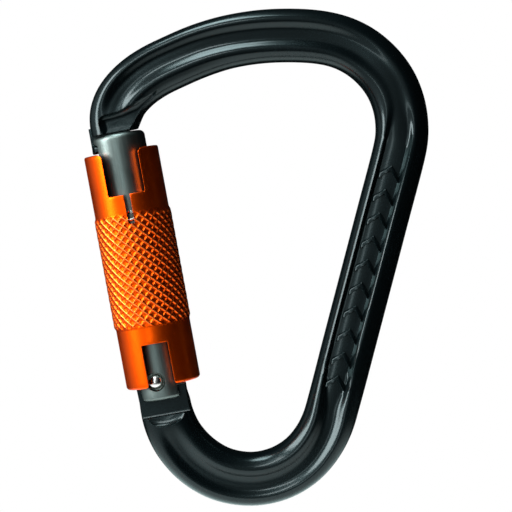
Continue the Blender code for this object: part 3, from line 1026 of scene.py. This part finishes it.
# ------------------------------------------------------------ the spine's relief
@dataclass
class SpineRelief:
    """Raised chevrons on the floor of the spine's channel, front and back."""

    frame: ForgedFrame
    start: Point2 = (24.0, -26.2)
    end: Point2 = (11.55, -75.4)
    count: int = 10
    stroke: float = 1.15
    height: float = 0.62

    def chevron(self) -> bmesh.types.BMesh:
        """Returns one chevron, flat on its back, with sloping sides.

        Returns:
            A closed mesh.
        """
        half, rise, s = 2.25, 2.3, self.stroke

        def outline(grow: float) -> list[Point2]:
            """Returns the chevron's outline, grown all round by so many millimetres."""
            w, t = half + grow, s / 2 + grow
            return [(-w, -rise / 2 - t), (0.0, rise / 2 - t), (w, -rise / 2 - t),
                    (w, -rise / 2 + t), (0.0, rise / 2 + t), (-w, -rise / 2 + t)]

        return stack([[(x, 0.5, z) for x, z in outline(0.22)],
                      [(x, 0.0, z) for x, z in outline(0.22)],
                      [(x, -self.height * 0.75, z) for x, z in outline(0.05)],
                      [(x, -self.height, z) for x, z in outline(-0.14)]])

    def tree(self) -> bpy.types.NodeTree:
        """Returns a tree that sets the chevron out along a straight row.

        Returns:
            The node group, with its row's sizes as named inputs.
        """
        group, given = start_group("relief_row", {
            "Count": "Int", "Start": "Vector", "Pitch": "Vector", "Turn": "Rotation",
            "Chevron": "Object", "Finish": "Material"})
        row = add_node(group, "GeometryNodeMeshLine", {"mode": "OFFSET"}, {
            "Count": given["Count"], "Start Location": given["Start"],
            "Offset": given["Pitch"],
        })
        shape = add_node(group, "GeometryNodeObjectInfo", {}, {"Object": given["Chevron"]})
        copies = add_node(group, "GeometryNodeInstanceOnPoints", {}, {
            "Points": row.outputs["Mesh"], "Instance": shape.outputs["Geometry"],
            "Rotation": given["Turn"],
        })
        end_group(group, copies.outputs["Instances"], given["Finish"])
        return group

    def build(self) -> list[bpy.types.Object]:
        """Builds the front and back rows.

        Returns:
            The two rows.
        """
        seed = plain_object("chevron_seed", self.chevron(), Matrix.Identity(4))
        group = self.tree()
        slope = Vector((self.end[0] - self.start[0], 0, self.end[1] - self.start[1]))
        lean = math.atan2(-slope.x, -slope.z)
        floor, sunk = self.frame.depth / 2 - self.frame.channel_depth, 0.02
        made = []
        for name, sign in (("spine_relief_front", -1), ("spine_relief_back", 1)):
            turn = Matrix.Rotation(lean, 3, "Y")
            if sign > 0:
                turn = turn @ Matrix.Rotation(math.pi, 3, "Z")
            row = run_group(linked(name, bpy.data.meshes.new(name)), group, {
                "Count": self.count,
                "Start": (self.start[0] * MM, sign * (floor - sunk) * MM, self.start[1] * MM),
                "Pitch": tuple(slope * MM / (self.count - 1)),
                "Turn": turn.to_euler(),
                "Chevron": seed,
                "Finish": BLACK_ANODISED.made(self.frame.space.lean),
            })
            shade(row, 40)
            made.append(dress(row, BLACK_ANODISED, Rides.FRAME, self.frame.space))
        bpy.data.objects.remove(seed, do_unlink=True)
        return made


# -------------------------------------------------------------------- the gate
@dataclass
class GateTube:
    """The gate: a turned tube with a keyhole for the nose at the top and a clevis
    over the tang at the bottom."""

    space: GateSpace
    at: Levels
    round_top: float = 1.25
    round_bottom: float = 0.9
    clevis_half: float = 3.28
    play: float = 0.32
    bore: float = 3.0
    bore_top: float = 27.0
    pin_height: float = 18.75

    def turned(self) -> bmesh.types.BMesh:
        """Returns the tube as it leaves the lathe.

        Returns:
            A closed mesh.
        """
        at, r, s = self.at, self.round_top, self.round_bottom
        high = arc(at.gate_radius - r, at.gate_top - r, r, r, 9)
        low = arc(at.gate_radius - s, at.gate_bottom + s, s, s, 7, -QUARTER)
        wall = [(at.gate_radius, float(z)) for z in np.arange(-2.6, 57.0, 1.7)]
        return lathe([(0, at.gate_bottom), *low, *wall, *high, (0, at.gate_top)], 144)

    def keyhole(self) -> bmesh.types.BMesh:
        """Returns the nose's keyhole, open at the top and the outer side.

        Returns:
            The shape to cut away.
        """
        at = self.at
        neck, bulb, gap = 2.0 + self.play, 3.5 + self.play, self.at.keyhole_floor
        right = [(neck, at.gate_top + 2), (neck, at.neck_end + self.play),
                 (neck + 0.5, at.neck_end), (bulb, at.neck_end - 0.4), (bulb, gap + 1.6),
                 (bulb - 0.5, gap + 0.5), (bulb - 1.6, gap)]
        return side_prism(both_sides(right), -14, 3.45)

    def countersink(self, back: bool) -> bmesh.types.BMesh:
        """Returns the flat-bottomed sink round one rivet head."""
        return about_y(lathe([(0, 4.35), (2.1, 4.35), (2.25, 4.6), (2.25, 9), (0, 9)], 48),
                       back=back)

    def cross_hole(self, radius: float, from_axis: float, height: float
                   ) -> bmesh.types.BMesh:
        """Returns a hole in from the back of the tube."""
        return about_y(drill(radius, from_axis, PAST, 32), z=height, back=True)

    def build(self) -> bpy.types.Object:
        """Builds the gate.

        Returns:
            The gate.
        """
        at = self.at
        made = plain_object("gate_tube", self.turned(), self.space.tube)
        carve(made, self.space.tube, [
            (Cut.TAKE_AWAY, self.keyhole()),
            (Cut.TAKE_AWAY, block((-14, -self.clevis_half, at.gate_bottom - 3),
                                  (14, self.clevis_half, 6.5))),
            (Cut.TAKE_AWAY, drill(self.bore, 0, self.bore_top, 64)),
            (Cut.TAKE_AWAY, block((3.3, -14, at.gate_bottom - 3), (14, 14, -1.6))),
            (Cut.TAKE_AWAY, self.cross_hole(1.02, 3.7, self.pin_height)),
            (Cut.TAKE_AWAY, self.cross_hole(0.95, 4.5, at.coil_low)),
        ])
        carve(made, self.space.pin, [
            (Cut.TAKE_AWAY, about_y(drill(at.rivet_hole, -PAST, PAST, 48))),
            *[(Cut.TAKE_AWAY, self.countersink(back)) for back in (False, True)],
        ])
        soften(made, 0.14)
        return dress(made, SATIN_GREY, Rides.GATE, self.space, "gate")


@dataclass
class HingeRivet:
    """The headed rivet that the gate turns on: a shank with a low dome each end."""

    space: GateSpace
    shank: float = 1.5
    head: float = 2.05

    def build(self) -> bpy.types.Object:
        """Builds the rivet.

        Returns:
            The rivet.
        """
        dome = [(1.72 * math.sin(a), 4.85 + 1.0 * math.cos(a))
                for a in np.linspace(0.0, math.pi / 2, 14)]
        dome[0] = (0.0, dome[0][1])
        dome += [(1.78, 4.72), (self.head - 0.1, 4.66), (self.head, 4.56)]
        top = dome[::-1]
        profile = [(r, -z) for r, z in dome] + [(self.head, -4.45), (self.shank, -4.45),
                                                (self.shank, 4.45), (self.head, 4.45)] + top
        made = plain_object("domed_rivet", about_y(lathe(profile, 64)), self.space.pin)
        shade(made, 40)
        return dress(made, BRIGHT_STAINLESS, Rides.GATE, self.space, "hinge_rivet")


# ------------------------------------------------------------------ the sleeve
@dataclass
class TwistSleeve:
    """The sleeve that turns about the gate: a bored tube with a notch for the nose,
    a slot for its spring's leg, an opening over the rivet, and a knurled band."""

    space: GateSpace
    at: Levels
    notch: float = 8.7
    slot_length: float = 6.9
    hatch: float = 6.2
    hatch_top: float = 9.1
    starts: int = 26
    ridge: float = 0.36

    def turned(self) -> bmesh.types.BMesh:
        """Returns the sleeve as it leaves the lathe, without its knurl.

        Returns:
            A closed mesh.
        """
        at, r = self.at, self.at.sleeve_radius
        low = arc(r - 0.75, at.rim_bottom + 0.75, 0.75, 0.75, 8, -QUARTER)
        top = arc(r - 0.45, at.rim_top - 0.45, 0.45, 0.45, 6)
        return lathe([
            (at.bore, at.rim_bottom), *low,
            *[(r, float(z)) for z in np.arange(0.6, at.rim_top - 1.0, 1.6)], *top,
            (at.bore + 0.4, at.rim_top), (at.bore, at.rim_top - 0.4),
            (at.bore, at.seat_high), (at.sleeve_neck, at.seat_high),
            (at.sleeve_neck, at.seat_low), (at.bore, at.seat_low),
        ], 144, ring=True)

    def notch_cut(self) -> bmesh.types.BMesh:
        """Returns the nose's notch, with rounded corners at its mouth and floor.

        Returns:
            The shape to cut away.
        """
        half, top, floor = self.notch / 2, self.at.rim_top, self.at.notch_floor
        mouth = arc(half + 1.3, top - 1.3, -1.3, 1.3, 8)
        foot = arc(half - 0.45, floor + 0.45, 0.45, -0.45, 5)
        right = [(half + 1.3, top + 2), *mouth[::-1], *foot]
        return prism(both_sides(right), -14, 0)

    def hatch_cut(self) -> bmesh.types.BMesh:
        """Returns the opening that clears both heads of the rivet.

        Returns:
            The shape to cut away.
        """
        half, top, low = self.hatch / 2, self.hatch_top, self.at.rim_bottom
        head = arc(half - 0.35, top - 0.35, 0.35, 0.35, 5)
        foot = [(half + 0.8, low - 2), (half + 0.8, low), (half + 0.22, low + 0.25),
                (half, low + 0.85)]
        return prism(both_sides(foot + head), -14, 14)

    def slot_cut(self) -> bmesh.types.BMesh:
        """Returns the narrow slot that holds the spring's upper leg.

        Returns:
            The shape to cut away.
        """
        floor, half = self.at.notch_floor, self.at.slot / 2
        return block((-half, -14, floor - self.slot_length), (half, 0, floor + 0.6))

    def groove_cut(self) -> bmesh.types.BMesh:
        """Returns the guide pin's groove inside the sleeve, a quarter turn long.

        Returns:
            The shape to cut away.
        """
        half = math.asin(1.2 / self.at.sleeve_neck)
        rim = [(0.0, 0.0)] + [
            (7.35 * math.cos(a), 7.35 * math.sin(a))
            for a in np.linspace(math.pi / 2 - half, math.pi + half, 40)
        ]
        return stack([[(x, y, 17.55) for x, y in rim], [(x, y, 19.95) for x, y in rim]])

    def knurl_tree(self) -> bpy.types.NodeTree:
        """Returns a tree that raises crossed ridges on a round band.

        One family of ridges is cut deeper than the other, as a worn roller does.

        Returns:
            The node group, with its sizes as named inputs.
        """
        sizes = ("Starts", "Radius", "Ridge", "Second", "Low", "High", "Edge")
        group, given = start_group("diamond_knurl", {
            **dict.fromkeys(sizes, "Float"), "Finish": "Material"})

        def maths(operation: str, *values: Any) -> bpy.types.NodeSocket:
            """Adds one Math node and returns its result."""
            return add_node(group, "ShaderNodeMath", {"operation": operation},
                            dict(enumerate(values))).outputs[0]

        spot = add_node(group, "ShaderNodeSeparateXYZ", {}, {
            0: add_node(group, "GeometryNodeInputPosition").outputs[0]}).outputs
        away = maths("SQRT", maths("ADD", maths("MULTIPLY", spot[0], spot[0]),
                                   maths("MULTIPLY", spot[1], spot[1])))
        around = maths("MULTIPLY", maths("ARCTAN2", spot[1], spot[0]), given["Starts"])
        climb = maths("MULTIPLY", maths("DIVIDE", spot[2], given["Radius"]), given["Starts"])
        heights = []
        for way in ("ADD", "SUBTRACT"):
            phase = maths("MULTIPLY", maths(way, around, climb), 0.5)
            heights.append(maths("POWER", maths("ABSOLUTE", maths("COSINE", phase)), 8.0))
        crossed = maths("MAXIMUM", heights[0], maths("MULTIPLY", heights[1], given["Second"]))
        rise, fall = [
            add_node(group, "ShaderNodeMapRange", {"interpolation_type": "SMOOTHSTEP"}, {
                "Value": spot[2], "From Min": given[end],
                "From Max": maths(way, given[end], given["Edge"])}).outputs[0]
            for end, way in (("Low", "ADD"), ("High", "SUBTRACT"))
        ]
        outer = maths("GREATER_THAN", away, maths("MULTIPLY", given["Radius"], 0.97))
        lift = maths("MULTIPLY", maths("MULTIPLY", crossed, given["Ridge"]),
                     maths("MULTIPLY", maths("MULTIPLY", rise, fall), outer))
        push = add_node(group, "ShaderNodeCombineXYZ", {}, {
            0: maths("MULTIPLY", maths("DIVIDE", spot[0], away), lift),
            1: maths("MULTIPLY", maths("DIVIDE", spot[1], away), lift)}).outputs[0]
        # each point's nearness to a crest, which the knurl's finish uses to paint its crests
        # paler as a painted highlight
        noted = add_node(group, "GeometryNodeStoreNamedAttribute", {
            "data_type": "FLOAT", "domain": "POINT"}, {
            "Geometry": given["Geometry"], "Name": "ridge",
            "Value": maths("DIVIDE", lift, given["Ridge"])})
        moved = add_node(group, "GeometryNodeSetPosition", {},
                         {"Geometry": noted.outputs[0], "Offset": push})
        end_group(group, moved.outputs[0], given["Finish"])
        return group

    def knurled_band(self) -> bpy.types.Object:
        """Builds the knurled band over the sleeve's middle.

        Returns:
            The band.
        """
        at = self.at
        base = at.band_radius - self.ridge + 0.06
        levels = np.linspace(at.band_bottom, at.band_top, 168)
        profile = ([(at.sleeve_radius - 0.3, at.band_bottom)]
                   + [(base, float(z)) for z in levels]
                   + [(at.sleeve_radius - 0.3, at.band_top)])
        made = plain_object("sleeve_knurl", lathe(profile, 416, ring=True),
                            Matrix.Identity(4))
        run_group(made, self.knurl_tree(), {
            "Starts": float(self.starts), "Radius": base * MM, "Ridge": self.ridge * MM,
            "Second": 0.72, "Low": at.band_bottom * MM, "High": at.band_top * MM,
            "Edge": 1.1 * MM, "Finish": KNURLED_ORANGE.made(self.space.lean),
        })
        made.data.transform(self.space.tube)
        carve(made, self.space.tube, [(Cut.TAKE_AWAY, self.slot_cut())])
        shade(made, 60)
        return dress(made, KNURLED_ORANGE, Rides.SLEEVE, self.space)

    def build(self) -> list[bpy.types.Object]:
        """Builds the sleeve and its knurled band.

        Returns:
            The sleeve and the band.
        """
        made = plain_object("twist_sleeve", self.turned(), self.space.tube)
        carve(made, self.space.tube, [
            (Cut.TAKE_AWAY, self.notch_cut()),
            (Cut.TAKE_AWAY, self.slot_cut()),
            (Cut.TAKE_AWAY, self.hatch_cut()),
            (Cut.TAKE_AWAY, self.groove_cut()),
        ])
        soften(made, 0.2)
        dress(made, ORANGE_ANODISED, Rides.SLEEVE, self.space, "locking_sleeve")
        return [made, self.knurled_band()]


# ------------------------------------------------------------------ the springs
@dataclass
class CoilSpring:
    """A round-wire spring on the tube's axis, swept by a Geometry Nodes tree."""

    space: GateSpace
    name: str
    wire: float

    def tree(self) -> bpy.types.NodeTree:
        """Returns a tree that sweeps round wire along a line of points.

        Returns:
            The node group, made once and used again after that.
        """
        known = bpy.data.node_groups.get("wire_along_line")
        if known is not None:
            return known
        group, given = start_group(
            "wire_along_line", {"Wire radius": "Float", "Finish": "Material"})
        line = add_node(group, "GeometryNodeMeshToCurve", {}, {"Mesh": given["Geometry"]})
        ring = add_node(group, "GeometryNodeCurvePrimitiveCircle", {},
                        {"Resolution": 14, "Radius": given["Wire radius"]})
        swept = add_node(group, "GeometryNodeCurveToMesh", {}, {
            "Curve": line.outputs[0], "Profile Curve": ring.outputs[0], "Fill Caps": True})
        smooth = add_node(group, "GeometryNodeSetShadeSmooth", {},
                          {"Geometry": swept.outputs[0]})
        end_group(group, smooth.outputs[0], given["Finish"])
        return group

    def swept(self, path: Sequence[Point3], finish: MetalFinish) -> bpy.types.Object:
        """Sweeps the wire along a path in the tube's frame.

        Args:
            path: the wire's middle, in mm.
            finish: the wire's surface.

        Returns:
            The spring.
        """
        place = self.space.tube_mm
        mesh = bpy.data.meshes.new(self.name)
        mesh.from_pydata([place @ Vector(p) for p in path],
                         [(k, k + 1) for k in range(len(path) - 1)], [])
        made = run_group(linked(self.name, mesh), self.tree(), {
            "Wire radius": self.wire / 2 * MM, "Finish": finish.made(self.space.lean)})
        tidy = bmesh.new()
        tidy.from_mesh(made.data)
        bmesh.ops.remove_doubles(tidy, verts=tidy.verts, dist=1e-7)
        bmesh.ops.recalc_face_normals(tidy, faces=tidy.faces)
        if tidy.calc_volume(signed=True) < 0:
            bmesh.ops.reverse_faces(tidy, faces=tidy.faces)
        tidy.to_mesh(made.data)
        tidy.free()
        made.data.shade_smooth()
        return made


def helix(radius: float, low: float, high: float, turns: float, start: float,
          steps: int = 36) -> list[Point3]:
    """Returns a helix's points, climbing from low to high.

    Args:
        radius: the coil's radius.
        low: its lower end.
        high: its upper end.
        turns: how many turns it makes.
        start: the angle that it starts from.
        steps: points in each turn.

    Returns:
        The points.
    """
    count = int(turns * steps)
    return [(radius * math.cos(start + 2 * math.pi * turns * k / count),
             radius * math.sin(start + 2 * math.pi * turns * k / count),
             low + (high - low) * k / count) for k in range(count + 1)]


@dataclass
class Springs:
    """The gate's spring in its bore, and the sleeve's torsion spring round it."""

    space: GateSpace
    at: Levels

    def gate_spring(self) -> bpy.types.Object:
        """Builds the gate's spring, squeezed between its bore's end and the plunger.

        Returns:
            The spring.
        """
        low, high = 11.15, 26.62
        made = CoilSpring(self.space, "gate_coil", 0.6).swept(
            helix(2.2, low, high, 11, 0.4), SPRING_WIRE)
        dress(made, SPRING_WIRE, None, self.space, "gate_spring")
        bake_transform(made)
        return made

    def sleeve_spring(self) -> bpy.types.Object:
        """Builds the sleeve's spring in its rest shape, attached to neither body, though the
        real one winds up as the sleeve turns: its foot is held by the gate and its upper
        leg by the sleeve's slot.

        Returns:
            The spring.
        """
        at = self.at
        middle = (at.gate_radius + at.bore) / 2
        high = at.coil_high
        turns = helix(middle, at.coil_low, high, 8.5, math.pi / 2 + 0.06)
        wire, play = 0.7, 0.06
        leg = at.slot / 2 - wire / 2 - play
        path = [(0.0, 5.0, at.coil_low), (0.0, 6.2, at.coil_low),
                (-0.3, middle, at.coil_low), *turns[1:-1],
                (-0.25, -middle - 0.05, high), (leg - 0.12, -middle - 0.5, high),
                (leg, -middle - 1.2, high), (leg, -at.sleeve_radius + 0.35, high)]
        made = CoilSpring(self.space, "sleeve_coil", wire).swept(path, TORSION_WIRE)
        dress(made, TORSION_WIRE, None, self.space, "sleeve_spring")
        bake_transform(made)
        return made


# ------------------------------------------------------------------- the studio
@dataclass
class Studio:
    """A pale floor, a large soft light to the left, and the camera."""

    aim: Point3 = (-0.00733, 0.0, -0.04581)
    floor_level: float = -0.135
    floor_glow: float = 0.5
    fade: Point2 = (0.05, 0.165)
    away: float = 0.5
    lens: float = 148.65
    tilt: float = 2.0

    def softbox(self, name: str, place: Point3, size: Point2, watts: float,
                tint: str = "#FFFFFF") -> bpy.types.Object:
        """Adds a rectangular soft light that faces the carabiner.

        Args:
            name: the light's name.
            place: where it stands, in metres.
            size: its width and height, in metres.
            watts: its power.
            tint: its colour.

        Returns:
            The light.
        """
        data = bpy.data.lights.new(name, "AREA")
        data.shape, data.size, data.size_y = "RECTANGLE", *size
        data.energy = watts
        data.color = linear(tint)[:3]
        made = linked(name, data)
        made.location = place
        made.rotation_euler = (Vector(self.aim) - Vector(place)).to_track_quat(
            "-Z", "Y").to_euler()
        return made

    def floor(self) -> bpy.types.Object:
        """Adds a pale round floor under the carabiner, thinned out at its edge.

        Returns:
            The floor.
        """
        made = bmesh.new()
        bmesh.ops.create_circle(made, cap_ends=True, segments=96, radius=170)
        obj = plain_object("studio_floor", made, Matrix.Translation((0, 0, self.floor_level)))
        material = bpy.data.materials.new("matt_white_board")
        material.use_nodes = True
        tree = material.node_tree
        shader = tree.nodes["Principled BSDF"]
        shader.inputs["Base Color"].default_value = linear("#F4F4F2")
        shader.inputs["Roughness"].default_value = 0.8
        shader.inputs["Emission Color"].default_value = linear("#FFFFFF")
        shader.inputs["Emission Strength"].default_value = self.floor_glow
        place = add_node(tree, "ShaderNodeTexCoord").outputs["Object"]
        flat = add_node(tree, "ShaderNodeVectorMath", {"operation": "MULTIPLY"},
                        {0: place, 1: (1.0, 1.0, 0.0)})
        away = add_node(tree, "ShaderNodeVectorMath", {"operation": "LENGTH"},
                        {0: flat.outputs[0]}).outputs["Value"]
        fade = add_node(tree, "ShaderNodeMapRange", {"interpolation_type": "SMOOTHSTEP"}, {
            "Value": away, "From Min": self.fade[0], "From Max": self.fade[1]}).outputs[0]
        clear = add_node(tree, "ShaderNodeBsdfTransparent")
        both = add_node(tree, "ShaderNodeMixShader", {},
                        {0: fade, 1: shader.outputs[0], 2: clear.outputs[0]})
        tree.links.new(both.outputs[0], tree.nodes["Material Output"].inputs["Surface"])
        obj.data.materials.append(material)
        return obj

    def world(self) -> None:
        """Makes a white backdrop that lights the metal more from the left."""
        world = bpy.data.worlds.new("white_studio")
        bpy.context.scene.world = world
        world.use_nodes = True
        tree = world.node_tree
        tree.nodes.clear()
        way = add_node(tree, "ShaderNodeTexCoord").outputs["Generated"]
        side = add_node(tree, "ShaderNodeVectorMath", {"operation": "DOT_PRODUCT"},
                        {0: way, 1: (-0.85, -0.5, 0.15)}).outputs["Value"]
        ramp = add_node(tree, "ShaderNodeMapRange", {"interpolation_type": "SMOOTHSTEP"}, {
            "Value": side, "From Min": 0.16, "From Max": 1.0,
            "To Min": 0.01, "To Max": 0.85})
        lit = add_node(tree, "ShaderNodeBackground", {},
                       {"Color": linear("#EEF4F5"), "Strength": ramp.outputs[0]})
        plain = add_node(tree, "ShaderNodeBackground", {},
                         {"Color": (1, 1, 1, 1), "Strength": 1.0})
        seen = add_node(tree, "ShaderNodeLightPath").outputs["Is Camera Ray"]
        both = add_node(tree, "ShaderNodeMixShader", {},
                        {0: seen, 1: lit.outputs[0], 2: plain.outputs[0]})
        add_node(tree, "ShaderNodeOutputWorld", {}, {"Surface": both.outputs[0]})

    def camera(self) -> None:
        """Adds the camera, level with the carabiner and a little above it."""
        data = bpy.data.cameras.new("studio_camera")
        data.lens, data.sensor_width = self.lens, 36.0
        data.clip_start, data.clip_end = 0.01, 20.0
        made = linked("studio_camera", data)
        up = math.radians(self.tilt)
        back = Vector((0, -math.cos(up), math.sin(up)))
        made.location = Vector(self.aim) + back * self.away
        made.rotation_euler = (-back).to_track_quat("-Z", "Y").to_euler()
        bpy.context.scene.camera = made

    def build(self) -> None:
        """Sets the whole studio up."""
        self.world()
        self.camera()
        self.floor()
        self.softbox("key_softbox", (-0.55, -0.26, 0.16), (0.24, 0.6), 6.5)
        self.softbox("top_softbox", (-0.16, -0.06, 0.55), (0.3, 0.2), 3.0, "#EAF6F7")
        self.softbox("upper_front_softbox", (-0.22, -0.5, 0.42), (0.3, 0.12), 1.3)
        self.softbox("front_strip", (-0.2, -0.72, 0.05), (0.07, 0.5), 0.55, "#EAF4F5")
        view = bpy.context.scene.view_settings
        view.view_transform, view.look = "Standard", "None"


def dress_inner_parts(space: GateSpace) -> None:
    """Gives the three inner parts that keep their CAD shape their finishes.

    Args:
        space: the gate's own frame.
    """
    for name, finish in (("gate_plunger", TURNED_STEEL), ("guide_pin", HARD_STEEL),
                         ("sleeve_bush", BLACK_ACETAL)):
        node = bpy.data.objects[name]
        node.data.materials.clear()
        node.data.materials.append(finish.made(space.lean))
        log.info("%s keeps its CAD shape: %s", name, finish.name)


def main() -> None:
    """Builds the carabiner and its studio."""
    logging.basicConfig(level=logging.INFO, format="%(name)s: %(message)s")
    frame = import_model()
    space = GateSpace.from_record(frame["record"])
    at = Levels()
    log.info("gate leans %.2f degrees, tube %.2f mm inwards of its pin",
             math.degrees(space.lean), space.offset)
    forging = ForgedFrame(space, at)
    forging.build()
    SpineRelief(forging).build()
    GateTube(space, at).build()
    HingeRivet(space).build()
    TwistSleeve(space, at).build()
    springs = Springs(space, at)
    springs.gate_spring()
    springs.sleeve_spring()
    dress_inner_parts(space)
    Studio().build()


if __name__ == "__main__":
    main()
